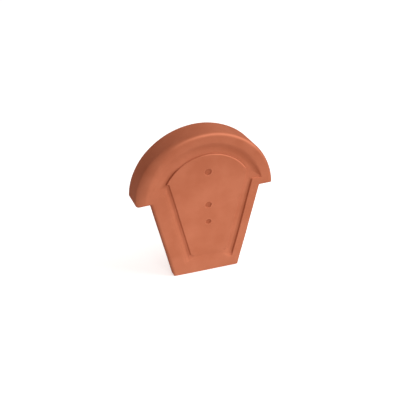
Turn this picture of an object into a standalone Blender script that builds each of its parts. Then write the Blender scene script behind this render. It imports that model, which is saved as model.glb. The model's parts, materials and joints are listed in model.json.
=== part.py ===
"""Ridge end cap of fired clay, pressed in one piece, which closes the end of a half-round ridge.

A half-round hood stands round a thick plate. The plate runs on below the hood as a tongue that
tapers to a level foot. Behind the plate the hood is hollow and open, and the last ridge tile
goes in there. On the front a channel follows the hood's rim, steps in at a ledge on each side,
runs down both sides of the tongue and crosses above its foot. The panel that it leaves standing
has a round head and three blind nail marks.

Metres, +Z up, front towards -Y. The origin is where the ridge's axis meets the plate's back.
"""

from dataclasses import dataclass, replace
from math import asin, cos, hypot, pi, radians, sin, sqrt

import bmesh
import bpy
from mathutils import Vector

MM = 0.001

# Hood
HOOD_RADIUS = 120.4 * MM  # outside, at the front
HOOD_DRAFT = 3.9 * MM  # how much smaller that radius is at the back rim
HOOD_DEPTH = 45.5 * MM  # front face to back rim
HOOD_WALL = 14 * MM  # at the back rim
HOOD_EDGE = 7 * MM  # rounding of the front edge
HOOD_EDGE_WORN = 16 * MM  # its width across the face at the left foot, where it is rubbed away
SHOULDER = 24.2 * MM  # how much the hood's radius is more than half the tongue's top
FRONT_SHIFT = 3.4 * MM  # the front's middle sits this far right of the back rim's and the hollow's

# Plate and tongue
PLATE_THICKNESS = 15 * MM
TONGUE_LENGTH = 149 * MM  # foot up to the hood's level underside
TONGUE_FOOT = 113.4 * MM  # width across the foot
TONGUE_EDGE = 5 * MM  # rounding of the front edge
TONGUE_SHIFT = 1.3 * MM  # the tongue's middle sits this far right of the front's

# Channel and panel on the front
CHANNEL_DEPTH = 3 * MM
CHANNEL_DRAFT = 0.8 * MM  # how far each channel wall leans over its depth
HOOD_CHANNEL_DRAFT = 4.5 * MM  # the same for the wall inside the hood's rim, a gentle slope
RIM_WIDTH = 19 * MM  # flat of the hood outside the channel, with its rounding
LEDGE_RISE = 14.5 * MM  # the hood's underside up to the ledges
HOOD_CHANNEL = 22.3 * MM  # width of the channel inside the rim
TONGUE_BORDER = 20.2 * MM  # tongue's side to the channel, measured level at the foot
TONGUE_CHANNEL = 14.1 * MM  # width of the channel beside the panel, measured level
FOOT_BORDER = 18.5 * MM  # tongue's foot up to the channel
FOOT_CHANNEL = 17 * MM  # height of the channel below the panel
HEAD_RISE = 34.5 * MM  # the hood's underside up to the foot of the panel's round head
HEAD_SHIFT = 3.8 * MM  # the panel's head sits this far right of the front's middle
RELIEF_SHIFT = 5.8 * MM  # so do the tongue's channel, the panel's sides and the nail marks
RELIEF_TAPER = 0.255  # how much their sides lean out, a little less than the tongue's own
PANEL_KEY = 3 * MM  # how far the panel's block reaches into the plate to join it

# Nail marks: height above the foot and width across the mouth
NAIL_MARKS = ((194 * MM, 12.5 * MM), (129.5 * MM, 11.5 * MM), (96 * MM, 9.5 * MM))
NAIL_MARK_DEPTH = 2.5 * MM
NAIL_MARK_DRAFT = 1 * MM

# Fineness of the facets
ARC_STEPS = 72
EDGE_STEPS = 6
MARK_STEPS = 20
CUTTER_REACH = 4 * MM  # how far a cutter stands in front of the face

AXIS = TONGUE_LENGTH  # height of the hood's centre
TAPER = (HOOD_RADIUS - SHOULDER - TONGUE_FOOT / 2) / TONGUE_LENGTH
ORIGIN = Vector((0, PLATE_THICKNESS, AXIS))  # from the face at foot level, below the hollow's axis
CLAY = (0.546, 0.178, 0.089, 1.0)
CLAY_ROUGHNESS = 0.85


@dataclass(frozen=True)
class HeadAndStem:
    """Front view of a round head, cut level at its foot, on a stem that tapers downwards."""

    radius: float
    head_x: float
    head_foot: float
    stem_x: float
    stem_half: float  # half the stem's width where its sides reach foot level
    stem_end: float
    taper: float  # how far each side of the stem leans out for each unit of height
    worn: float = 0.0  # how much closer in the arc's left end lies than its crown

    def grown(self, by):
        """The same shape with every side moved out by one distance."""
        return replace(
            self,
            radius=self.radius + by,
            head_foot=self.head_foot - by,
            stem_half=self.stem_half + by * hypot(1, self.taper),
            stem_end=self.stem_end - by,
        )

    def side(self, hand, height):
        """A point on the stem's right (+1) or left (-1) side."""
        return Vector((self.stem_x + hand * (self.stem_half + self.taper * height), height))

    def joint(self, hand):
        """Two points where the side meets the head: its notch, or the side's way to the arc."""
        inner = self.side(hand, self.head_foot)
        half_chord = sqrt(self.radius**2 - (self.head_foot - AXIS) ** 2)
        outer = Vector((self.head_x + hand * half_chord, self.head_foot))
        if hand * (outer.x - inner.x) > 0:
            return inner, outer
        along = Vector((hand * self.taper, 1)).normalized()
        start = inner - Vector((self.head_x, AXIS))
        back = start.dot(along)
        reach = sqrt(back**2 - start.length_squared + self.radius**2) - back
        crossing = inner + along * reach
        return (self.side(hand, self.stem_end) + crossing) / 2, crossing

    def points(self):
        """Outline from the stem's lower right corner up, over the head and down to the left."""
        right, arc_start = self.joint(1)
        left, arc_end = self.joint(-1)
        first = asin((arc_start.y - AXIS) / self.radius)
        last = pi - asin((arc_end.y - AXIS) / self.radius)
        arc = []
        for step in range(ARC_STEPS + 1):
            angle = first + (last - first) * step / ARC_STEPS
            radius = self.radius - self.worn * min(cos(angle), 0) ** 2
            arc.append(Vector((self.head_x + radius * cos(angle), AXIS + radius * sin(angle))))
        return [self.side(1, self.stem_end), right, *arc, left, self.side(-1, self.stem_end)]


def rounding(radius, depth):
    """How far a quarter-round edge is set back from the side at a depth behind the face."""
    if depth >= radius:
        return 0.0
    return radius - sqrt(radius**2 - (radius - depth) ** 2)


def body_outline(depth):
    """The cap's outline at a depth behind its front face."""
    setback = rounding(HOOD_EDGE, depth)
    return HeadAndStem(
        radius=HOOD_RADIUS - HOOD_DRAFT * depth / HOOD_DEPTH - setback,
        head_x=FRONT_SHIFT * (1 - depth / HOOD_DEPTH),
        head_foot=AXIS,
        stem_x=FRONT_SHIFT + TONGUE_SHIFT,
        stem_half=TONGUE_FOOT / 2 - rounding(TONGUE_EDGE, depth) * hypot(1, TAPER),
        stem_end=0.0,
        taper=TAPER,
        worn=setback * (HOOD_EDGE_WORN / HOOD_EDGE - 1),
    )


def pocket_outline():
    """Outer edge of the channel, on the face."""
    return HeadAndStem(
        radius=HOOD_RADIUS - RIM_WIDTH,
        head_x=FRONT_SHIFT,
        head_foot=AXIS + LEDGE_RISE,
        stem_x=FRONT_SHIFT + RELIEF_SHIFT,
        stem_half=TONGUE_FOOT / 2 - TONGUE_BORDER,
        stem_end=FOOT_BORDER,
        taper=RELIEF_TAPER,
    )


def panel_outline():
    """Edge of the panel inside the channel, on the face."""
    pocket = pocket_outline()
    return HeadAndStem(
        radius=pocket.radius - HOOD_CHANNEL,
        head_x=FRONT_SHIFT + HEAD_SHIFT,
        head_foot=AXIS + HEAD_RISE,
        stem_x=pocket.stem_x,
        stem_half=pocket.stem_half - TONGUE_CHANNEL,
        stem_end=pocket.stem_end + FOOT_CHANNEL,
        taper=RELIEF_TAPER,
    )


def place(mesh, point, depth):
    """A vertex at a point of the front view and a depth behind the face."""
    return mesh.verts.new(Vector((point.x, depth, point.y)) - ORIGIN)


def join_rings(mesh, front, back, closed=True):
    """Quads between two rows of vertices."""
    count = len(front)
    for i in range(count if closed else count - 1):
        j = (i + 1) % count
        mesh.faces.new((front[i], front[j], back[j], back[i]))


def clay_object(name, mesh):
    """An object from a closed bmesh, faces turned outwards, shaded smooth but for its edges."""
    bmesh.ops.recalc_face_normals(mesh, faces=mesh.faces)
    data = bpy.data.meshes.new(name)
    mesh.to_mesh(data)
    mesh.free()
    data.shade_smooth()
    data.set_sharp_from_angle(angle=radians(30))
    piece = bpy.data.objects.new(name, data)
    bpy.context.scene.collection.objects.link(piece)
    return piece


def loft(name, levels):
    """A closed block through outlines of equal length, each at its depth."""
    mesh = bmesh.new()
    rings = [[place(mesh, point, depth) for point in points] for depth, points in levels]
    for front, back in zip(rings, rings[1:]):
        join_rings(mesh, front, back)
    mesh.faces.new(rings[0])
    mesh.faces.new(rings[-1])
    return clay_object(name, mesh)


def cap_body():
    """Hood, plate and tongue with a plain face: outlines lofted back, the hood on to its rim."""
    mesh = bmesh.new()
    depths = [HOOD_EDGE * (1 - cos(pi / 2 * step / EDGE_STEPS)) for step in range(EDGE_STEPS + 1)]
    depths.append(PLATE_THICKNESS)
    rings = [[place(mesh, point, depth) for point in body_outline(depth).points()] for depth in depths]
    mesh.faces.new(rings[0])

    arc = slice(2, 2 + ARC_STEPS + 1)
    inner_radius = HOOD_RADIUS - HOOD_DRAFT - HOOD_WALL
    hollow = replace(body_outline(HOOD_DEPTH), radius=inner_radius)
    plate_hollow = [place(mesh, point, PLATE_THICKNESS) for point in hollow.points()[arc]]
    rim_hollow = [place(mesh, point, HOOD_DEPTH) for point in hollow.points()[arc]]
    rim_outside = [place(mesh, point, HOOD_DEPTH) for point in body_outline(HOOD_DEPTH).points()[arc]]

    for front, back in zip(rings[:-2], rings[1:-1]):
        join_rings(mesh, front, back)
    front, back = rings[-2], rings[-1]
    shell_ends = {1: (0, 1), len(front) - 3: (-1, -2)}  # foot edge: its arc end and tongue corner
    for i in range(len(front)):
        j = (i + 1) % len(front)
        strip = [front[i], front[j], back[j], back[i]]
        if i in shell_ends:
            end, corner = shell_ends[i]
            shell_end = [back[arc][end], rim_outside[end], rim_hollow[end], plate_hollow[end]]
            if abs(plate_hollow[end].co.x) > abs(back[corner].co.x):
                strip.insert(3, plate_hollow[end])
            else:
                shell_end.append(back[corner])
            mesh.faces.new(shell_end)
        mesh.faces.new(strip)

    join_rings(mesh, back[arc], rim_outside, closed=False)
    join_rings(mesh, rim_outside, rim_hollow, closed=False)
    join_rings(mesh, rim_hollow, plate_hollow, closed=False)
    mesh.faces.new([*plate_hollow, back[-2], back[-1], back[0], back[1]])
    return clay_object("ridge_end_cap", mesh)


def channel_pocket():
    """Cutter for the channel and all that stands inside it; its walls lean in towards the floor."""
    mouth = pocket_outline()
    floor = replace(mouth.grown(-CHANNEL_DRAFT), radius=mouth.radius - HOOD_CHANNEL_DRAFT)
    return loft("channel_pocket", [
        (-CUTTER_REACH, mouth.points()),
        (0.0, mouth.points()),
        (CHANNEL_DEPTH, floor.points()),
    ])


def panel_block():
    """The panel, level with the rim, its walls leaning out, sunk into the plate behind the pocket."""
    face = panel_outline()
    foot = face.grown(CHANNEL_DRAFT)
    return loft("panel_block", [
        (0.0, face.points()),
        (CHANNEL_DEPTH, foot.points()),
        (CHANNEL_DEPTH + PANEL_KEY, foot.points()),
    ])


def nail_mark(number, height, width):
    """Cutter for one blind nail mark, a shallow round dimple with a flat floor."""
    middle = FRONT_SHIFT + RELIEF_SHIFT
    levels = []
    for depth, radius in (
        (-CUTTER_REACH, width / 2),
        (0.0, width / 2),
        (NAIL_MARK_DEPTH, width / 2 - NAIL_MARK_DRAFT),
    ):
        ring = []
        for step in range(MARK_STEPS):
            angle = 2 * pi * step / MARK_STEPS
            ring.append(Vector((middle + radius * cos(angle), height + radius * sin(angle))))
        levels.append((depth, ring))
    return loft(f"nail_mark_{number}", levels)


def combine(piece, tool, operation):
    """Adds a live Boolean to the piece and hides its tool."""
    modifier = piece.modifiers.new(tool.name, "BOOLEAN")
    modifier.operation = operation
    modifier.solver = "EXACT"
    modifier.object = tool
    tool.hide_render = True
    tool.display_type = "WIRE"


def terracotta():
    """Unglazed red clay, fired matt."""
    material = bpy.data.materials.new("terracotta")
    material.use_nodes = True
    shader = material.node_tree.nodes["Principled BSDF"]
    shader.inputs["Base Color"].default_value = CLAY
    shader.inputs["Roughness"].default_value = CLAY_ROUGHNESS
    shader.inputs["Metallic"].default_value = 0.0
    return material


def main():
    """Builds the cap."""
    for old in list(bpy.data.objects):
        bpy.data.objects.remove(old, do_unlink=True)
    cap = cap_body()
    cap.data.materials.append(terracotta())
    combine(cap, channel_pocket(), "DIFFERENCE")
    combine(cap, panel_block(), "UNION")
    for number, (height, width) in enumerate(NAIL_MARKS, start=1):
        combine(cap, nail_mark(number, height, width), "DIFFERENCE")


main()
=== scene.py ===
"""Ridge end cap of unglazed terracotta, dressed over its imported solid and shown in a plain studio.

The cap is one piece of pressed clay, so it is one closed mesh. Its front relief, its outer edge and
its hood are rings carried from the panel's edge outwards, back over the hood and into its hollow.
The panel's face and the plate's back close the two ends as sheets.

Metres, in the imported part's frame: +Z up, front towards -Y, the origin where the ridge's axis meets
the plate's back.
"""

import json
import logging
from dataclasses import dataclass, replace
from enum import Enum

import bmesh
import bpy
import numpy as np
from mathutils import Matrix, Vector
from numpy.typing import NDArray

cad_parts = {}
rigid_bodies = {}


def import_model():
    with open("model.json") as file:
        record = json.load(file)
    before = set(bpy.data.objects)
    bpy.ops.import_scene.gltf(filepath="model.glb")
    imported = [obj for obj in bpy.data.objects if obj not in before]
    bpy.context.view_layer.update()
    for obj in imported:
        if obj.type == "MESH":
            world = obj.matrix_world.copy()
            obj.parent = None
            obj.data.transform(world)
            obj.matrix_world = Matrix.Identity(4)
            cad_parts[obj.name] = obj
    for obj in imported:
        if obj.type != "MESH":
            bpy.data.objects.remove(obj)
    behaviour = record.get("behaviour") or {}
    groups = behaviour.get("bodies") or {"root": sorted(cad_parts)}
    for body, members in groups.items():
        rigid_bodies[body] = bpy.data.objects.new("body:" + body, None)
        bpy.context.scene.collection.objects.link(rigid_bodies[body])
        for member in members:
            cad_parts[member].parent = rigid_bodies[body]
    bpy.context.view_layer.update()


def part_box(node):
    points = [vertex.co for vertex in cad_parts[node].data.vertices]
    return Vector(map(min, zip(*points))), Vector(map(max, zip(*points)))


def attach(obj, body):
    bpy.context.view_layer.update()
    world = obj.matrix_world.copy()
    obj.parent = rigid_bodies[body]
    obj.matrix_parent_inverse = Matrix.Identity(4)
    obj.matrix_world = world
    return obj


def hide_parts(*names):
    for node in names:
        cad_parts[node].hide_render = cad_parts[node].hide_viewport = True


for start_object in list(bpy.data.objects):
    bpy.data.objects.remove(start_object, do_unlink=True)
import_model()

Array = NDArray[np.float64]
Socket = bpy.types.NodeSocket

MM = 0.001
TINY = 1e-9  # keeps a loop's running length rising where two of its points coincide
MERGE = 1e-6  # points closer than this are one
LOOP_STEP = 0.15 * MM  # steps in which a loop is read to be softened
WAVES = 9  # waves that make up the clay's unevenness
WAVE_SPREAD = 2.4  # the longest of them over the shortest
UNEVEN_LENGTH = 45 * MM  # length of the shortest wave
UNEVEN_HEIGHT = 0.12 * MM
UNEVEN_SEEDS = (3, 5, 8)  # for x, y and z
MIX_FACTOR, MIX_A, MIX_B, MIX_RESULT = 0, 6, 7, 2  # a Mix node's sockets where it mixes colours
LOG = logging.getLogger("ridge_end_cap")


def linear_colour(code: str) -> tuple[float, float, float, float]:
    """Turns a colour written as sRGB hex into Blender's linear values.

    Args:
        code: Six hex digits, such as "C07253".

    Returns:
        Red, green, blue and a full alpha.
    """
    values = np.array([int(code[i : i + 2], 16) / 255 for i in (0, 2, 4)])
    lin = np.where(values <= 0.04045, values / 12.92, ((values + 0.055) / 1.055) ** 2.4)
    return (float(lin[0]), float(lin[1]), float(lin[2]), 1.0)


class Part(Enum):
    """The stretches of every ring, in the order in which a ring runs, seen from the front."""

    FOOT = 0  # left to right
    RIGHT_SIDE = 1  # up
    RIGHT_LEDGE = 2  # out
    RIGHT_ARC = 3  # up to the crown's start
    CROWN = 4  # right to left
    LEFT_ARC = 5  # down
    LEFT_LEDGE = 6  # in
    LEFT_SIDE = 7  # down


PARTS = len(Part)
TWINS = 9  # a place on the right and its twin on the left add up to this
CROWN_START = 0.25  # share of an arc between its right end and the crown
PART_POINTS = 240  # points on each part of an outline before it is softened
JOINT_RUN = 4 * MM  # length of a side kept as its ledge where it meets the arc without a notch

FINE_COLUMNS = 801  # samples that the sheets' columns are picked from
FINE_ROWS = 3001  # the same for their rows
COLUMNS = 92
ROWS = 150  # rows over the panel's whole height, of which the stem's side keeps its share
SIDE_SHARE = 0.82  # share of the panel's height whose rows go to the stem's side
SHEET_WIDTH = 150 * MM  # width that the columns are spaced for
WIDE_STEP = 2.4 * MM  # spacing away from the nail marks
CLOSE_COLUMN = 0.55 * MM  # spacing of the columns that cross the nail marks
CLOSE_ROW = 0.6 * MM
CLOSE_HALF = 9 * MM  # half the width of the band of close columns
CLOSE_MARGIN = 2.5 * MM  # how far past a nail mark's mouth its close rows reach
LEDGE_STEPS = 12
ARC_STEPS = 34  # on the arc to each side of the crown

CURVE_STEPS = 5  # pieces of a section's rounded corner
WALL_RINGS = 2 * (CURVE_STEPS + 1) + 2  # a channel wall has two rounded corners and two ends
FLOOR_SHARES = (0.33, 0.67)  # where the channel floor's two rings lie on the way across
EDGE_RINGS = 10  # rings over the rounded front edge
SIDE_SHARES = (0.3, 0.65, 1.0)  # where the side's rings lie between the front and back edges
SHELL_FIRST = 4 * MM  # where the first further ring lies on the hood's section behind the plate
SHELL_STEP = 5 * MM  # spacing of the further rings
CREEP_SHARE = 0.9  # share of the shell's rings by which the tongue's ring has crept in
SECTION_RUN = 3 * MM  # how far a channel wall's section runs on over the flat beside it
FLOOR_RUN = 5 * MM  # how far from the wall's top edge it ends on the channel's floor
RIM_RUN = 2.2 * MM  # how far it runs on over the rim


@dataclass(frozen=True)
class HeadAndStem:
    """Front view of a round head, cut level at its foot, on a stem that tapers downwards."""

    radius: float
    head_x: float
    head_foot: float
    stem_x: float
    stem_half: float  # half the stem's width where its sides reach the tongue's foot
    stem_end: float
    taper: float
    tongue_length: float

    def grown(self, by: float) -> "HeadAndStem":
        """The same shape with every side moved out by one distance."""
        return replace(
            self,
            radius=self.radius + by,
            head_foot=self.head_foot - by,
            stem_half=self.stem_half + by * float(np.hypot(1, self.taper)),
            stem_end=self.stem_end - by,
        )

    def side(self, hand: int, height: float) -> Array:
        """A point on the stem's right (+1) or left (-1) side."""
        half = self.stem_half + self.taper * (height + self.tongue_length)
        return np.array([self.stem_x + hand * half, height])

    def joint(self, hand: int) -> tuple[Array, Array]:
        """Two points where a side meets the head: its notch, or the last of the side below the arc.

        Args:
            hand: Right (+1) or left (-1).

        Returns:
            The inner point on the stem's side and the outer one on the arc.
        """
        inner = self.side(hand, self.head_foot)
        half_chord = float(np.sqrt(self.radius**2 - self.head_foot**2))
        outer = np.array([self.head_x + hand * half_chord, self.head_foot])
        if hand * (outer[0] - inner[0]) > 0:
            return inner, outer
        along = np.array([hand * self.taper, 1.0]) / np.hypot(1, self.taper)
        start = inner - np.array([self.head_x, 0.0])
        back = float(start @ along)
        reach = float(np.sqrt(back**2 - start @ start + self.radius**2)) - back
        crossing = inner + along * reach
        return crossing - along * JOINT_RUN, crossing

    def corners(self) -> tuple[Array, Array, Array, Array, Array, Array]:
        """Left foot, right foot, right joint's inner and outer, left joint's outer and inner."""
        right_inner, right_outer = self.joint(1)
        left_inner, left_outer = self.joint(-1)
        left_foot = self.side(-1, self.stem_end)
        right_foot = self.side(1, self.stem_end)
        return left_foot, right_foot, right_inner, right_outer, left_outer, left_inner

    def arc(self, share: Array) -> Array:
        """Points of the head's arc, from its right end (0) to its left end (1).

        An even share of the angle is an even share of the arc.
        """
        _, _, _, right_outer, left_outer, _ = self.corners()
        first = np.arctan2(right_outer[1], right_outer[0] - self.head_x)
        last = np.arctan2(left_outer[1], left_outer[0] - self.head_x)
        angle = first + (last - first) * share
        return np.stack([self.head_x + self.radius * np.cos(angle), self.radius * np.sin(angle)], -1)

    def at(self, place: Array) -> Array:
        """Points of the sharp outline at places along it.

        A place's whole number is its Part and the rest is how far along that part it lies. Straight
        parts are the straight line between their corners, and the three parts of the arc share
        its angle.

        Args:
            place: Places from 0 to 8, of any shape.

        Returns:
            The points, x and z on a last axis.
        """
        left_foot, right_foot, right_inner, right_outer, left_outer, left_inner = self.corners()
        part = np.minimum(place.astype(int), PARTS - 1)
        share = (place - part)[..., None]
        zero = np.zeros(2)
        starts = np.array([left_foot, right_foot, right_inner, zero, zero, zero, left_outer, left_inner])
        ends = np.array([right_foot, right_inner, right_outer, zero, zero, zero, left_inner, left_foot])
        straight = starts[part] * (1 - share) + ends[part] * share
        first = np.array([0, 0, 0, 0, CROWN_START, 1 - CROWN_START, 0, 0])[part]
        size = np.array([0, 0, 0, CROWN_START, 1 - 2 * CROWN_START, CROWN_START, 0, 0])[part]
        round_part = (part >= Part.RIGHT_ARC.value) & (part <= Part.LEFT_ARC.value)
        curved = self.arc(np.clip(first + size * share[..., 0], 0, 1))
        return np.where(round_part[..., None], curved, straight)


def soften_loop(loop: Array, radius: float) -> Array:
    """Rounds the corners of a closed loop.

    The loop is read at even steps of its own length, each point becomes the Gaussian average of
    its neighbours along the loop, and the points are put back at their own places along it.

    Args:
        loop: Points along the loop, one a row, without the first repeated at the end.
        radius: The Gaussian's reach, about half of the radius that a square corner gets.

    Returns:
        The softened points.
    """
    closed = np.concatenate([loop, loop[:1]])
    steps = np.maximum(np.linalg.norm(np.diff(closed, axis=0), axis=1), TINY)
    length = np.concatenate([[0.0], np.cumsum(steps)])
    count = int(length[-1] / LOOP_STEP)
    even = np.arange(count) * length[-1] / count
    wave = np.fft.rfftfreq(count, length[-1] / count)
    blur = np.exp(-2 * (np.pi * wave * radius) ** 2)
    columns = []
    for axis in range(loop.shape[1]):
        drawn = np.interp(even, length, closed[:, axis])
        smooth = np.fft.irfft(np.fft.rfft(drawn) * blur, count)
        columns.append(np.interp(length[:-1], np.append(even, length[-1]), np.append(smooth, smooth[0])))
    return np.stack(columns, -1)


def rounded_path(points: list[tuple[float, ...]], reaches: list[float]) -> Array:
    """A bent line with its inner corners rounded.

    Each corner becomes a quadratic curve that starts one reach before it and ends one reach after.

    Args:
        points: The line's points.
        reaches: One reach for each inner corner.

    Returns:
        The rounded line's points, one a row.
    """
    corner = np.array(points, float)
    into = corner[1:-1] - corner[:-2]
    away = corner[2:] - corner[1:-1]
    reach = np.array(reaches)[:, None]
    start = corner[1:-1] - into / np.linalg.norm(into, axis=1)[:, None] * reach
    end = corner[1:-1] + away / np.linalg.norm(away, axis=1)[:, None] * reach
    t = np.linspace(0, 1, CURVE_STEPS + 1)[None, :, None]
    curves = (1 - t) ** 2 * start[:, None] + 2 * t * (1 - t) * corner[1:-1, None] + t**2 * end[:, None]
    return np.concatenate([corner[:1], curves.reshape(-1, corner.shape[1]), corner[-1:]])


def smooth_step(value: Array) -> Array:
    """Zero below 0, one above 1 and an even S between, 3 t squared less 2 t cubed."""
    t = np.clip(value, 0, 1)
    return t * t * (3 - 2 * t)


def graded(position: Array, spacing: Array, count: int) -> Array:
    """Picks samples that lie closer together where the spacing asked for is small.

    The running sum of distance over spacing is cut into equal shares.

    Args:
        position: Fine places along a line, rising.
        spacing: The spacing wanted at each of them.
        count: How many samples to pick.

    Returns:
        Indices of the samples as fractions of the fine places, the first and last included.
    """
    middle = (spacing[1:] + spacing[:-1]) / 2
    running = np.concatenate([[0.0], np.cumsum(np.abs(np.diff(position)) / middle)])
    return np.interp(np.linspace(0, running[-1], count), running, np.arange(len(position)))


def coons_sheet(bottom: Array, top: Array, left: Array, right: Array, across: Array, up: Array) -> Array:
    """Fills four joined edges with a sheet.

    A point is the blend of bottom and top, plus that of left and right, less that of the corners.

    Args:
        bottom: The lower edge, left to right.
        top: The upper edge, left to right.
        left: The left edge, upwards.
        right: The right edge, upwards.
        across: Places from 0 to 1 along bottom and top.
        up: Places from 0 to 1 along left and right.

    Returns:
        Points in rows upwards and columns to the right, x, y and z on the last axis.
    """
    u = across[None, :, None]
    v = up[:, None, None]
    level = (1 - v) * bottom[None] + v * top[None]
    upright = (1 - u) * left[:, None] + u * right[:, None]
    low_corners = (1 - u) * bottom[0] + u * bottom[-1]
    high_corners = (1 - u) * top[0] + u * top[-1]
    return level + upright - (1 - v) * low_corners - v * high_corners


def slow_waves(points: Array, length: float, height: float, seed: int) -> Array:
    """Gentle unevenness of hand-pressed clay: a sum of waves in random directions.

    Args:
        points: Where to read it, x, y and z on the last axis.
        length: The shortest wave.
        height: The usual size of the result.
        seed: Picks the waves.

    Returns:
        One value for each point.
    """
    random = np.random.default_rng(seed)
    directions = random.normal(size=(WAVES, 3))
    directions /= np.linalg.norm(directions, axis=1)[:, None]
    lengths = length * random.uniform(1.0, WAVE_SPREAD, WAVES)
    phase = random.uniform(0, 2 * np.pi, WAVES)
    return height / 2 * np.sin(points @ (directions * 2 * np.pi / lengths[:, None]).T + phase).sum(-1)


@dataclass(frozen=True)
class NailMark:
    """A blind nail mark, with the low burr round its mouth."""

    height: float  # above the ridge's axis
    width: float  # across its mouth
    depth: float
    lip: float = 0.3 * MM  # how far outside the mouth its wall starts
    wall: float = 1.6 * MM  # width of its sloping wall
    burr_away: float = 0.9 * MM  # from the mouth to the burr's crest
    burr_width: float = 0.8 * MM
    burr_height: float = 0.3 * MM
    painted_highlight: float = 0.15  # strength of the painted highlight on the burr
    painted_shade: float = 0.35  # strength of the painted shade in the mark


@dataclass(frozen=True)
class ClayCap:
    """The whole cap, one pressed and fired piece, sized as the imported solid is."""

    hood_radius: float = 120.4 * MM
    hood_draft: float = 3.9 * MM
    hood_depth: float = 45.5 * MM
    hood_wall: float = 14 * MM
    hood_edge: float = 7 * MM  # rounding of the front edge
    hood_edge_worn: float = 16 * MM  # its width across the face at the left foot
    worn_depth: float = 12 * MM  # its depth on the hood's left shoulder
    bevel_share: float = 0.6  # how far the rounding is a straight bevel there
    shoulder: float = 24.2 * MM
    front_shift: float = 3.4 * MM  # the front's middle, right of the hollow's
    plate: float = 15 * MM
    back_edge: float = 1.5 * MM  # rounding of the plate's back edge
    tongue_length: float = 149 * MM
    tongue_foot: float = 113.4 * MM
    tongue_edge: float = 5 * MM
    tongue_shift: float = 1.3 * MM  # the tongue's middle, right of the front's
    under_edge: float = 3.5 * MM  # rounding under the hood's feet
    foot_edge: float = 2 * MM  # rounding of the tongue's foot
    channel_depth: float = 3 * MM
    channel_draft: float = 0.8 * MM
    rim_width: float = 19 * MM
    ledge_rise: float = 14.5 * MM
    hood_channel: float = 22.3 * MM
    tongue_border: float = 20.2 * MM
    tongue_channel: float = 14.1 * MM
    foot_border: float = 18.5 * MM
    foot_channel: float = 17 * MM
    head_rise: float = 34.5 * MM
    head_shift: float = 3.8 * MM
    relief_shift: float = 5.8 * MM
    relief_taper: float = 0.255
    small_edge: float = 1.2 * MM  # rounding of the small edges
    soft_wall: float = 8 * MM  # width of the channel's outer wall where it is pressed as a gentle slope
    soft_wall_edges: tuple[float, float] = (3 * MM, 2 * MM)  # rounding at its bottom and at its top
    foot_wall: float = 4 * MM  # width of the panel's wall above the foot, a gentle slope too
    foot_wall_edges: tuple[float, float] = (2 * MM, 1 * MM)  # rounding at its top and at its bottom
    rim_edges: tuple[float, float] = (3 * MM, 2.5 * MM)  # rounding of the hood's back rim, out and in
    hollow_corner: float = 4 * MM  # rounding where the hollow meets the plate
    back_reach: float = 8 * MM  # how far in over the plate's back the last ring lies
    foot_share: float = 0.1  # how much of the channel's depth is left above the foot
    ledge_share: float = 0.12  # the same along the left ledge and the left outer wall
    corner: float = 0.8 * MM  # softness of the outlines' corners
    nail_marks: tuple[NailMark, ...] = (
        NailMark(45 * MM, 12.5 * MM, 2.5 * MM),
        NailMark(-19.5 * MM, 11.5 * MM, 2.5 * MM),
        NailMark(-53 * MM, 9.5 * MM, 2.5 * MM),
    )

    @property
    def taper(self) -> float:
        """How far each side of the tongue leans out for each unit of height."""
        return (self.hood_radius - self.shoulder - self.tongue_foot / 2) / self.tongue_length

    @property
    def relief_x(self) -> float:
        """Where the middle of the tongue's relief lies."""
        return self.front_shift + self.relief_shift

    def outside(self) -> HeadAndStem:
        """The cap's sharp outline on the front face."""
        return HeadAndStem(
            radius=self.hood_radius,
            head_x=self.front_shift,
            head_foot=0.0,
            stem_x=self.front_shift + self.tongue_shift,
            stem_half=self.tongue_foot / 2,
            stem_end=-self.tongue_length,
            taper=self.taper,
            tongue_length=self.tongue_length,
        )

    def pocket(self) -> HeadAndStem:
        """The channel's outer edge on the front face."""
        return replace(
            self.outside(),
            radius=self.hood_radius - self.rim_width,
            head_foot=self.ledge_rise,
            stem_x=self.relief_x,
            stem_half=self.tongue_foot / 2 - self.tongue_border,
            stem_end=self.foot_border - self.tongue_length,
            taper=self.relief_taper,
        )

    def panel(self) -> HeadAndStem:
        """The panel's edge on the front face."""
        pocket = self.pocket()
        return replace(
            pocket,
            radius=pocket.radius - self.hood_channel,
            head_x=self.front_shift + self.head_shift,
            head_foot=self.head_rise,
            stem_half=pocket.stem_half - self.tongue_channel,
            stem_end=pocket.stem_end + self.foot_channel,
        )

    def places(self) -> tuple[Array, Array]:
        """Where the sheets' columns and rows lie, closer together at the nail marks.

        Returns:
            Shares from 0 to 1 across the foot and the crown, and places from 1 to 4 up the right side.
        """
        fine = np.linspace(0, 1, FINE_COLUMNS)
        near = np.abs((fine - 0.5) * SHEET_WIDTH) < CLOSE_HALF
        spacing = np.where(near, CLOSE_COLUMN, WIDE_STEP)
        index = graded(fine * SHEET_WIDTH, spacing, COLUMNS)
        across = np.interp(index, np.arange(FINE_COLUMNS), fine)
        across = (across + 1 - across[::-1]) / 2  # evened out, so that left mirrors right

        panel = self.panel()
        up_fine = np.linspace(0, 1, FINE_ROWS)
        height = panel.stem_end + up_fine * (panel.radius - panel.stem_end)
        spacing = np.full(FINE_ROWS, WIDE_STEP)
        for mark in self.nail_marks:
            spacing[np.abs(height - mark.height) < mark.width / 2 + CLOSE_MARGIN] = CLOSE_ROW
        index = graded(height, spacing, ROWS)
        rows = np.interp(index, np.arange(FINE_ROWS), up_fine)
        side = rows[rows < SIDE_SHARE]
        side = side / side[-1] * (1 - 1 / len(side))  # leaves one step before the side's end
        side = np.append(side, 1.0)
        ledge = np.linspace(0, 1, LEDGE_STEPS + 1)[1:]
        arc = np.linspace(0, 1, ARC_STEPS + 1)[1:]
        right = [Part.RIGHT_SIDE.value + side, Part.RIGHT_LEDGE.value + ledge, Part.RIGHT_ARC.value + arc]
        return across, np.concatenate(right)

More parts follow.
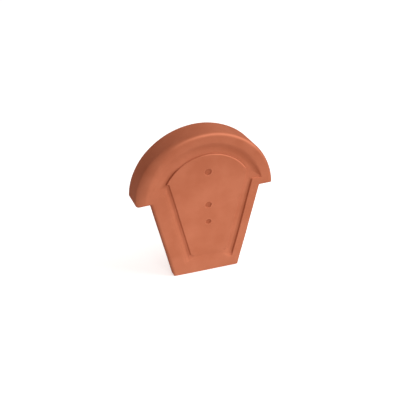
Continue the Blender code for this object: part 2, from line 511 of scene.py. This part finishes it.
    def columns(self) -> Array:
        """Places of one ring's points, all the way round, from the left foot."""
        across, right = self.places()
        crown = Part.CROWN.value + across
        left = TWINS - right[::-1]
        return np.concatenate([across[:-1], right[:-1], crown[:-1], left[:-1]])

    def ring(self, outline: HeadAndStem, depth: Array | float) -> Array:
        """One ring: an outline's softened points at a depth behind the front face.

        Args:
            outline: The outline.
            depth: One depth, or one for each column.

        Returns:
            The ring's points, one a row.
        """
        dense = np.linspace(0, PARTS, PARTS * PART_POINTS, endpoint=False)
        soft = soften_loop(outline.at(dense), self.corner)
        place = self.columns()
        closed = np.concatenate([soft, soft[:1]])
        x = np.interp(place, np.append(dense, PARTS), closed[:, 0])
        z = np.interp(place, np.append(dense, PARTS), closed[:, 1])
        return np.stack([x, np.broadcast_to(depth, x.shape) - self.plate, z], -1)

    def relief_rings(self) -> list[Array]:
        """Rings from the panel's edge over its wall, the channel's floor and outer wall to the rim."""
        draft, depth, soft, slope = self.channel_draft, self.channel_depth, self.soft_wall, self.foot_wall
        edges = [self.small_edge, self.small_edge]
        steep_in = [(-SECTION_RUN, 0.0), (0.0, 0.0), (draft, depth), (FLOOR_RUN, depth)]
        gentle_in = [(-slope, 0.0), (0.0, 0.0), (slope, depth), (FLOOR_RUN, depth)]
        steep_out = [(-FLOOR_RUN, depth), (-draft, depth), (0.0, 0.0), (RIM_RUN, 0.0)]
        gentle_out = [(-soft - SECTION_RUN, depth), (-soft, depth), (0.0, 0.0), (RIM_RUN, 0.0)]
        place = self.columns()
        # each is 1 along its own stretch of the ring and fades out at the ends
        foot = np.interp(place, [0, 0.12, 0.88, 1], [0, 1, 1, 0])
        hood = np.interp(place, [3, 3.5, 5.6, 6], [0, 1, 1, 0])
        left = np.interp(place, [0, 0.2, 0.5, 5.5, 5.9, 8], [1, 1, 0, 0, 1, 1])
        full = 1 - foot * (1 - self.foot_share)
        inner = self.wall(self.panel(), steep_in, gentle_in, edges, list(self.foot_wall_edges), foot, full)
        outer = self.wall(
            self.pocket(),
            steep_out,
            gentle_out,
            edges,
            list(self.soft_wall_edges),
            np.maximum(foot, hood),
            full * (1 - left * (1 - self.ledge_share)),
        )
        floor = [inner[-1] * (1 - share) + outer[0] * share for share in FLOOR_SHARES]
        return inner + floor + outer

    def wall(
        self,
        outline: HeadAndStem,
        steep: list[tuple[float, ...]],
        gentle: list[tuple[float, ...]],
        steep_reach: list[float],
        gentle_reach: list[float],
        ease: Array,
        share: Array,
    ) -> list[Array]:
        """Rings of a channel wall that is steep in some places and gentle in others.

        Args:
            outline: The wall's top edge.
            steep: Corners of the steep section, distance out and depth.
            gentle: The same for the gentle section.
            steep_reach: How far each inner corner of the steep section is rounded.
            gentle_reach: The same for the gentle section.
            ease: For each column, 0 where the wall is steep and 1 where it is gentle.
            share: For each column, the share of the depth that is kept.

        Returns:
            The rings, in the order of the section's points.
        """
        rings = []
        for (out, deep), (gentle_out, gentle_deep) in zip(
            rounded_path(steep, steep_reach), rounded_path(gentle, gentle_reach)
        ):
            steep_ring = self.ring(outline.grown(out), deep * share)
            gentle_ring = self.ring(outline.grown(gentle_out), gentle_deep * share)
            rings.append(steep_ring * (1 - ease[:, None]) + gentle_ring * ease[:, None])
        return rings

    def edge_depth(self) -> Array:
        """Depth of the front edge's rounding at each column."""
        foot, side, under, arc = self.foot_edge, self.tongue_edge, self.under_edge, self.hood_edge
        worn = self.worn_depth
        # the depth changes over a short stretch at each corner, and slowly towards the worn shoulder
        places = [0.98, 1.02, 1.98, 2.02, 2.9, 3, 4.6, 5.3, 5.7, 6, 6.1, 6.98, 7.02, 7.97, 8]
        depths = [foot, side, side, under, under, arc, arc, worn, worn, arc, under, under, side, side, foot]
        return np.interp(self.columns(), places, depths)

    def outer_rings(self) -> list[Array]:
        """Rings from the rim over the rounded front edge and back along the sides to the plate's back."""
        outside = self.outside()
        size = self.edge_depth()
        sharp = self.ring(outside, 0.0)
        turn = np.arctan2(sharp[:, 2], sharp[:, 0] - outside.head_x)
        worn = (self.hood_edge_worn - self.hood_edge) * np.minimum(np.cos(turn), 0) ** 2
        bevel = np.interp(self.columns(), [4.5, 5.1, 6, 6.01], [0, self.bevel_share, self.bevel_share, 0])
        rings = []
        for share in np.linspace(0, 1, EDGE_RINGS):
            quarter = share * np.pi / 2
            turned = self.edge_ring(1 - float(np.sin(quarter)), size * (1 - np.cos(quarter)), worn)
            straight = self.edge_ring(1 - float(share), size * share, worn)
            rings.append(turned * (1 - bevel[:, None]) + straight * bevel[:, None])
        for share in SIDE_SHARES:
            deep = size + (self.plate - self.back_edge - size) * share
            rings.append(self.drafted(outside, deep, 0 * size))
        return rings

    def edge_ring(self, inset: float, depth: Array, worn: Array) -> Array:
        """A ring on the front edge's rounding.

        Args:
            inset: How far in it lies, as a share of the rounding's width.
            depth: One depth for each column.
            worn: How much wider than elsewhere the rounding is at each column.

        Returns:
            The ring's points.
        """
        outside = self.outside()
        base = replace(
            outside,
            radius=self.hood_radius - self.hood_edge * inset,
            head_foot=self.under_edge * inset,
            stem_half=outside.stem_half - self.tongue_edge * inset,
            stem_end=outside.stem_end + self.foot_edge * inset,
        )
        return self.drafted(base, depth, worn * inset)

    def drafted(self, outline: HeadAndStem, depth: Array, inset: Array) -> Array:
        """A ring whose arc slides and draws in with depth, as the hood does, and by a further inset.

        Args:
            outline: The outline before the draft.
            depth: One depth for each column.
            inset: One further inset for each column.

        Returns:
            The ring's points.
        """
        ring = self.ring(outline, depth)
        weight = arc_weight(self.columns())
        across = ring[:, 0] - outline.head_x
        pull = (self.hood_draft * depth / self.hood_depth + inset) * weight
        scale = 1 - pull / np.hypot(across, ring[:, 2])
        ring[:, 0] = outline.head_x + across * scale - self.front_shift * depth / self.hood_depth * weight
        ring[:, 2] *= scale
        return ring

    def shell_path(self) -> Array:
        """The hood's section behind the plate: out along its back, round the rim and into the hollow.

        Returns:
            Radius, depth and the circle's middle at each step, one a row.
        """
        start = self.plate - self.back_edge
        outer_start = self.hood_radius - self.hood_draft * start / self.hood_depth
        outer_end = self.hood_radius - self.hood_draft
        inner = outer_end - self.hood_wall
        path = rounded_path(
            [
                (outer_start, start, self.front_shift * (1 - start / self.hood_depth)),
                (outer_end, self.hood_depth, 0.0),
                (inner, self.hood_depth, 0.0),
                (inner, self.plate, 0.0),
                (inner - self.back_reach, self.plate, 0.0),
            ],
            [*self.rim_edges, self.hollow_corner],
        )
        fine = np.concatenate([[0.0], np.cumsum(np.linalg.norm(np.diff(path, axis=0), axis=1))])
        spread = np.unique(np.concatenate([fine, np.arange(SHELL_FIRST, fine[-1], SHELL_STEP)]))
        return np.stack([np.interp(spread, fine, column) for column in path.T], -1)

    def shell_rings(self) -> list[Array]:
        """Rings over the hood's back part, and over the tongue's back edge at the same time.

        On the arc a ring is the section's point turned about the ridge's axis. On a ledge the
        section shrinks towards its own end, so nested sections fill the hood's level foot, and the
        last ring's points are spread evenly again. On the tongue the ring turns over the back edge
        and creeps in over the plate's back.
        """
        place = self.columns()
        path = self.shell_path()
        start = self.drafted(self.outside(), np.full(len(place), path[0, 1]), 0 * place)
        last_radius = path[-1, 0]
        rings = []
        away = start[:, 0] - path[0, 2]
        angle = np.arctan2(start[:, 2], away)
        stops = [part.value for part in (Part.RIGHT_LEDGE, Part.RIGHT_ARC, Part.LEFT_LEDGE, Part.LEFT_SIDE)]
        right_ledge, arc_start, arc_end, left_side = stops
        on_arc = (place >= arc_start) & (place <= arc_end)
        on_ledge = (place >= right_ledge) & (place < left_side) & ~on_arc
        hand = np.sign(away)
        room = np.clip((np.abs(away) - last_radius) / (path[0, 0] - last_radius), 0, 1)
        shares = np.linspace(0, 1, len(path))
        for (radius, depth, middle), share in zip(path[1:], shares[1:]):
            creep = smooth_step(np.array(share / CREEP_SHARE)).item()
            inset, deeper = rounded_turn(creep, self.back_edge, self.back_reach)
            outline = replace(
                self.outside(),
                stem_half=self.outside().stem_half - inset,
                stem_end=self.outside().stem_end + inset,
            )
            ring = self.ring(outline, path[0, 1] + deeper)
            level = np.full(len(place), depth - self.plate)
            turned = np.stack([middle + radius * np.cos(angle), level, radius * np.sin(angle)], -1)
            ring[on_arc] = turned[on_arc]
            nested_x = middle + hand * (last_radius + room * (radius - last_radius))
            nested_y = path[0, 1] + deeper + room * (depth - path[0, 1] - deeper) - self.plate
            pulled = np.where(room > 0, nested_x, ring[:, 0])
            if share == 1:
                _, _, right_inner, _, _, left_inner = outline.corners()
                ends = [right_inner[0], middle + radius, middle - radius, left_inner[0]]
                pulled = np.interp(place, stops, ends)
            ring[on_ledge, 0] = pulled[on_ledge]
            ring[on_ledge, 1] = nested_y[on_ledge]
            rings.append(soften_loop(ring, self.corner))
        return rings

    def sheet(self, ring: Array) -> Array:
        """Closes a ring with a sheet that shares its points.

        Args:
            ring: The ring's points.

        Returns:
            Rows upwards and columns to the right of points.
        """
        across, right = self.places()
        wide, high = len(across) - 1, len(right) - 1
        corner = np.cumsum([0, wide, high, wide])
        bottom = ring[corner[0] : corner[1] + 1]
        right_edge = ring[corner[1] : corner[2] + 1]
        top = ring[corner[2] : corner[3] + 1][::-1]
        left_edge = np.concatenate([ring[corner[3] :], ring[:1]])[::-1]
        run = np.concatenate([[0.0], np.cumsum(np.linalg.norm(np.diff(right_edge, axis=0), axis=1))])
        up = run / run[-1]
        return coons_sheet(bottom, top, left_edge, right_edge, across, up)

    def press_nail_marks(self, sheet: Array) -> tuple[Array, Array]:
        """Sinks the nail marks into the panel's face.

        Depth is the mark's depth times an S over its wall, less a low burr round the mouth.

        Args:
            sheet: The panel's face.

        Returns:
            The face with its marks, and its painted light: painted shade in the marks, a painted highlight
            on the burrs.
        """
        painted_light = np.zeros(sheet.shape[:2])
        for mark in self.nail_marks:
            away = np.hypot(sheet[..., 0] - self.relief_x, sheet[..., 2] - mark.height)
            hole = smooth_step((mark.width / 2 + mark.lip - away) / mark.wall)
            burr = np.exp(-(((away - mark.width / 2 - mark.burr_away) / mark.burr_width) ** 2))
            sheet[..., 1] += mark.depth * hole - mark.burr_height * burr
            # painted highlight on the burr, painted shade in the hole
            painted_light += mark.painted_highlight * burr - mark.painted_shade * hole
        return sheet, painted_light

    def build(self) -> bpy.types.Object:
        """Makes the cap's mesh.

        Returns:
            The cap's object.
        """
        rings = [*self.relief_rings(), *self.outer_rings(), *self.shell_rings()]
        body = np.stack(rings)
        body = np.concatenate([body, body[:, :1]], axis=1)
        face, face_painted_light = self.press_nail_marks(self.sheet(rings[0]))
        back = self.sheet(rings[-1])
        painted_light = self.painted_light(len(rings))
        painted_light = np.concatenate([painted_light, painted_light[:, :1]], axis=1)
        return clay_mesh("fired_clay", [face, body, back], [face_painted_light, painted_light, np.zeros(back.shape[:2])])

    def painted_light(self, count: int) -> Array:
        """Painted light over the rings: painted highlights on the edges at the upper right, painted shade
        in the grooves.

        Args:
            count: Number of rings in the body.

        Returns:
            From -1, painted shade, to 1, painted highlight; a row for each ring and a column for each of
            its points.
        """
        place = self.columns()
        panel_edge, panel_wall, floor = 0, 3, WALL_RINGS  # rings, counted from the panel's edge outwards
        outer_wall = floor + len(FLOOR_SHARES)
        ledge_wall = outer_wall + 4
        front = outer_wall + WALL_RINGS
        painted_light = np.zeros((count, len(place)))

        def paint(first: int, across: list[float], stops: list[float], along: list[float]) -> None:
            """Adds a band: strengths over successive rings, times strengths at places along them."""
            painted_light[first : first + len(across)] += np.array(across)[:, None] * np.interp(place, stops, along)

        # painted highlights where the light falls: the panel's edge at the upper right, the right ledge's
        # wall, the hood's front edge
        paint(panel_edge, [0, 0.3, 0.8, 1, 0.8, 0.4], [3.05, 3.3, 4.3, 4.7], [0, 1, 1, 0])
        paint(ledge_wall, [0.5, 0.8, 0.8, 0.6, 0.4], [2.0, 2.1, 2.9, 3.0], [0, 1, 1, 0])
        paint(front, [0, 0.1, 0.3, 0.7, 0.8, 0.5, 0.1], [3.4, 4.1, 4.5, 4.9], [0, 1, 1, 0])
        # painted shade where shade falls: the panel's wall down the left, the outer wall at the right and
        # over the arc
        shade_band = [-0.1, -0.3, -0.6, -0.7, -0.7, -0.7, -0.7, -0.7, -0.6, -0.4, -0.2]
        paint(panel_wall, shade_band, [5.1, 5.4, 6.9, 7.1, 8], [0, 1, 1, 0.5, 0.4])
        paint(outer_wall, shade_band[::-1], [1.0, 1.05, 1.97, 2.0], [0, 1, 1, 0])
        # painted shadow of the rim on the channel's floor, strongest near the arc's right end
        paint(floor, shade_band[::-1], [3.0, 3.05, 3.6, 4.5, 5.1], [0, 0.8, 0.35, 0.3, 0])
        return painted_light


def rounded_turn(share: float, radius: float, run: float) -> tuple[float, float]:
    """A quarter round edge and the flat after it, by share of the way over both.

    Args:
        share: From 0 to 1.
        radius: The edge's rounding.
        run: Length of the flat.

    Returns:
        How far in and how much deeper the place is than the edge's start.
    """
    way = share * (radius * np.pi / 2 + run)
    turn = min(way / radius, np.pi / 2)
    past = max(0.0, way - radius * np.pi / 2)
    return float(radius * (1 - np.cos(turn)) + past), float(radius * np.sin(turn))


def arc_weight(place: Array) -> Array:
    """One on the arc, falling to zero over each ledge towards the tongue."""
    return np.clip(np.minimum(place - Part.RIGHT_LEDGE.value, Part.LEFT_SIDE.value - place), 0, 1)


def clay_mesh(name: str, sheets: list[Array], painted_light: list[Array]) -> bpy.types.Object:
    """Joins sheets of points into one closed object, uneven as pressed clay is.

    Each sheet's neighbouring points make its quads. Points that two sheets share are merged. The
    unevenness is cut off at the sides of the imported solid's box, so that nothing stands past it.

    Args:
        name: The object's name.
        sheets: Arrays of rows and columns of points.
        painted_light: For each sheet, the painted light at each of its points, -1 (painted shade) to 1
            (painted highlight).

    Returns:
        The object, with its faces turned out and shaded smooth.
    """
    points, quads, first = [], [], 0
    for sheet in sheets:
        rows, cols = sheet.shape[:2]
        index = first + np.arange(rows * cols).reshape(rows, cols)
        corners = [index[:-1, :-1], index[:-1, 1:], index[1:, 1:], index[1:, :-1]]
        quads.append(np.stack(corners, -1).reshape(-1, 4))
        points.append(sheet.reshape(-1, 3))
        first += rows * cols
    data = bpy.data.meshes.new(name)
    data.from_pydata(np.concatenate(points).tolist(), [], np.concatenate(quads).tolist())
    layer = data.attributes.new("painted_light", "FLOAT", "POINT")
    layer.data.foreach_set("value", np.concatenate([sheet.ravel() for sheet in painted_light]))
    mesh = bmesh.new()
    mesh.from_mesh(data)
    bmesh.ops.remove_doubles(mesh, verts=mesh.verts, dist=MERGE)
    bmesh.ops.recalc_face_normals(mesh, faces=mesh.faces)
    mesh.to_mesh(data)
    mesh.free()
    low, high = (np.array(corner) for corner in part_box("ridge_end_cap"))
    place = np.zeros(len(data.vertices) * 3)
    data.vertices.foreach_get("co", place)
    place = place.reshape(-1, 3)
    waves = [slow_waves(place, UNEVEN_LENGTH, UNEVEN_HEIGHT, seed) for seed in UNEVEN_SEEDS]
    place = np.clip(place + np.stack(waves, -1), low, high)
    data.vertices.foreach_set("co", place.ravel())
    data.shade_smooth()
    data.update()
    piece = bpy.data.objects.new(name, data)
    bpy.context.scene.collection.objects.link(piece)
    return piece


def add_node(
    tree: bpy.types.NodeTree, kind: str, links: dict[str | int, Socket] | None = None, **settings: object
) -> bpy.types.Node:
    """Adds a node to a material.

    Args:
        tree: The material's tree.
        kind: The node's type.
        links: An input's name or number, to the output that feeds it.
        settings: Node properties, or input values where the name is an input's with _ for a space.

    Returns:
        The node.
    """
    node = tree.nodes.new(kind)
    for name, value in settings.items():
        if hasattr(node, name):
            setattr(node, name, value)
        else:
            node.inputs[name.replace("_", " ")].default_value = value
    for name, output in (links or {}).items():
        tree.links.new(output, node.inputs[name])
    return node


@dataclass(frozen=True)
class Terracotta:
    """Unglazed terracotta, pressed in a mould and fired: dry and matt, with a fine sandy grain.

    Its colour is faintly clouded, and darkened a little towards the crown with painted shade.
    """

    pale: str = "CC7C5C"
    dark: str = "C27252"
    crown_shade_tint: str = "E6E0DC"  # what the colour is multiplied by at the crown, painted shade that darkens the top
    foot_tint: str = "FFFFFF"
    painted_highlight: str = "DE8967"  # painted highlight on the edges
    painted_shade: str = "8E4629"  # painted shade in the grooves
    cloud_size: float = 45 * MM
    cloud_detail: float = 3.0
    cloud_span: tuple[float, float] = (0.35, 0.65)  # noise at which the clay is dark, and pale
    grain_size: float = 1.2 * MM  # sand; drawn coarser than the clay's own so that it shows
    grain_detail: float = 2.0
    grain_height: float = 0.05 * MM
    roughness: float = 0.88
    specular: float = 0.2
    low: float = -ClayCap.tongue_length  # where the tint is the foot's
    high: float = 120 * MM  # where it is the crown's

    def material(self) -> bpy.types.Material:
        """Builds the material.

        Returns:
            The material.
        """
        made = bpy.data.materials.new("unglazed_terracotta")
        made.use_nodes = True
        tree = made.node_tree
        shader = tree.nodes["Principled BSDF"]
        shader.inputs["Roughness"].default_value = self.roughness
        shader.inputs["Specular IOR Level"].default_value = self.specular
        place = add_node(tree, "ShaderNodeTexCoord").outputs["Object"]
        at = {"Vector": place}
        clouds = {"Scale": 1 / self.cloud_size, "Detail": self.cloud_detail}
        cloud = add_node(tree, "ShaderNodeTexNoise", at, **clouds)
        tone = add_node(tree, "ShaderNodeValToRGB", {"Fac": cloud.outputs["Fac"]})
        self.set_ramp(tone, list(zip(self.cloud_span, (self.dark, self.pale))))
        parts = add_node(tree, "ShaderNodeSeparateXYZ", at)
        # painted shade: the colour darkens from the foot towards the crown
        span = {"From_Min": self.low, "From_Max": self.high}
        height = add_node(tree, "ShaderNodeMapRange", {"Value": parts.outputs["Z"]}, **span)
        fade = add_node(tree, "ShaderNodeValToRGB", {"Fac": height.outputs["Result"]})
        self.set_ramp(fade, [(0.0, self.foot_tint), (1.0, self.crown_shade_tint)])
        both = {0: tone.outputs["Color"], 1: fade.outputs["Color"]}
        colour = add_node(tree, "ShaderNodeVectorMath", both, operation="MULTIPLY").outputs["Vector"]
        # painted light: a painted highlight is mixed in where the attribute is above zero, painted shade
        # where it is below
        painted_light = add_node(tree, "ShaderNodeAttribute", attribute_name="painted_light").outputs["Fac"]
        for full, code in ((1.0, self.painted_highlight), (-1.0, self.painted_shade)):
            strength = add_node(tree, "ShaderNodeMapRange", {"Value": painted_light}, From_Max=full)
            under = {MIX_FACTOR: strength.outputs["Result"], MIX_A: colour}
            blend = add_node(tree, "ShaderNodeMix", under, data_type="RGBA")
            blend.inputs[MIX_B].default_value = linear_colour(code)
            colour = blend.outputs[MIX_RESULT]
        tree.links.new(colour, shader.inputs["Base Color"])
        sand = {"Scale": 1 / self.grain_size, "Detail": self.grain_detail}
        grain = add_node(tree, "ShaderNodeTexNoise", at, **sand)
        rise = {"Height": grain.outputs["Fac"]}
        bump = add_node(tree, "ShaderNodeBump", rise, Distance=self.grain_height)
        tree.links.new(bump.outputs["Normal"], shader.inputs["Normal"])
        return made

    def set_ramp(self, node: bpy.types.Node, stops: list[tuple[float, str]]) -> None:
        """Sets a colour ramp's two stops, each a position and an sRGB hex colour."""
        for element, (position, code) in zip(node.color_ramp.elements, stops):
            element.position = position
            element.color = linear_colour(code)


@dataclass(frozen=True)
class Lamp:
    """A soft square lamp aimed at the cap."""

    name: str
    place: tuple[float, float, float]
    size: float
    power: float
    colour: str = "FFFFFF"

    def build(self, aim: Vector) -> None:
        """Sets the lamp up.

        Args:
            aim: Where it points.
        """
        light = bpy.data.lights.new(self.name, "AREA")
        light.shape = "SQUARE"
        light.size = self.size
        light.energy = self.power
        light.color = linear_colour(self.colour)[:3]
        lamp = bpy.data.objects.new(self.name, light)
        lamp.location = self.place
        lamp.rotation_euler = (aim - Vector(self.place)).to_track_quat("-Z", "Y").to_euler()
        bpy.context.scene.collection.objects.link(lamp)


@dataclass(frozen=True)
class Studio:
    """Plain pale floor, soft light and a camera from the upper left of the cap's front."""

    azimuth: float = -19.37
    elevation: float = 32.5
    roll: float = 0.48
    distance: float = 12.0
    pixel: float = 1.67 * MM
    sensor: float = 36.0  # millimetres; the lens is worked out from it
    frame_pixels: int = 400
    seen_at: tuple[float, float] = (205.23, 195.51)  # pixels, where the anchor shows
    anchor: tuple[float, float, float] = (3.5 * MM, -15 * MM, 0.0)
    floor_height: float = -ClayCap.tongue_length  # the cap stands on it
    floor_reach: float = 30.0  # how far it runs out from the middle
    floor_white: float = 0.92  # share of the light that it sends back
    floor_roughness: float = 0.9
    dome: str = "FFEDE6"
    dome_strength: float = 0.41
    table_glow: float = 0.5  # the white table is lit from below, so that shadows stay faint
    lamps: tuple[Lamp, ...] = (
        Lamp("key", (0.99, -0.48, 1.02), 0.9, 9.0),
        Lamp("right", (0.83, -0.08, 1.24), 0.9, 5.0),
        Lamp("front", (0.0, -0.44, -0.06), 0.3, 1.4),
        Lamp("top", (-0.1, 0.1, 1.5), 1.2, 2.5),
    )

    def floor(self) -> bpy.types.Object:
        """A wide flat sheet under the cap."""
        data = bpy.data.meshes.new("floor")
        corners = np.array([[-1, -1], [1, -1], [1, 1], [-1, 1]]) * self.floor_reach
        data.from_pydata([(x, y, self.floor_height) for x, y in corners.tolist()], [], [(0, 1, 2, 3)])
        made = bpy.data.objects.new("floor", data)
        bpy.context.scene.collection.objects.link(made)
        paint = bpy.data.materials.new("white_paper")
        paint.use_nodes = True
        shader = paint.node_tree.nodes["Principled BSDF"]
        shader.inputs["Base Color"].default_value = (*[self.floor_white] * 3, 1.0)
        shader.inputs["Roughness"].default_value = self.floor_roughness
        shader.inputs["Emission Color"].default_value = linear_colour("FFFFFF")
        shader.inputs["Emission Strength"].default_value = self.table_glow
        data.materials.append(paint)
        return made

    def camera(self) -> bpy.types.Object:
        """The camera, placed so that the anchor shows where it does in the photograph."""
        az, el, roll = np.radians([self.azimuth, self.elevation, self.roll])
        back = Vector((np.sin(az) * np.cos(el), -np.cos(az) * np.cos(el), np.sin(el)))
        right = Vector((np.cos(az), np.sin(az), 0))
        up = back.cross(right)
        right_r = right * np.cos(roll) - up * np.sin(roll)
        up_r = up * np.cos(roll) + right * np.sin(roll)
        middle = self.frame_pixels / 2
        off_x = (middle - self.seen_at[0]) * self.pixel
        off_y = (self.seen_at[1] - middle) * self.pixel
        target = Vector(self.anchor) + right_r * off_x + up_r * off_y
        data = bpy.data.cameras.new("camera")
        data.sensor_width = self.sensor
        data.lens = self.sensor * self.distance / (self.frame_pixels * self.pixel)
        made = bpy.data.objects.new("camera", data)
        turn = Matrix((right_r, up_r, back)).transposed()
        made.matrix_world = Matrix.Translation(target + back * self.distance) @ turn.to_4x4()
        bpy.context.scene.collection.objects.link(made)
        return made

    def build(self) -> None:
        """Sets up floor, light and camera."""
        table = self.floor()
        table.visible_diffuse = False  # it would light the cap from below, where the photograph is dark
        for lamp in self.lamps:
            lamp.build(Vector((0, 0, 0)))
        world = bpy.data.worlds.new("studio")
        world.use_nodes = True
        background = world.node_tree.nodes["Background"]
        background.inputs["Color"].default_value = linear_colour(self.dome)
        background.inputs["Strength"].default_value = self.dome_strength
        bpy.context.scene.world = world
        bpy.context.scene.camera = self.camera()
        bpy.context.scene.view_settings.view_transform = "Standard"


def main() -> None:
    """Builds the cap and its studio."""
    logging.basicConfig(level=logging.INFO, format="%(name)s: %(message)s")
    cap = ClayCap().build()
    cap.data.materials.append(Terracotta().material())
    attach(cap, "root")
    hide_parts("ridge_end_cap")
    LOG.info("%s: %d faces", cap.name, len(cap.data.polygons))
    Studio().build()


if __name__ == "__main__":
    main()
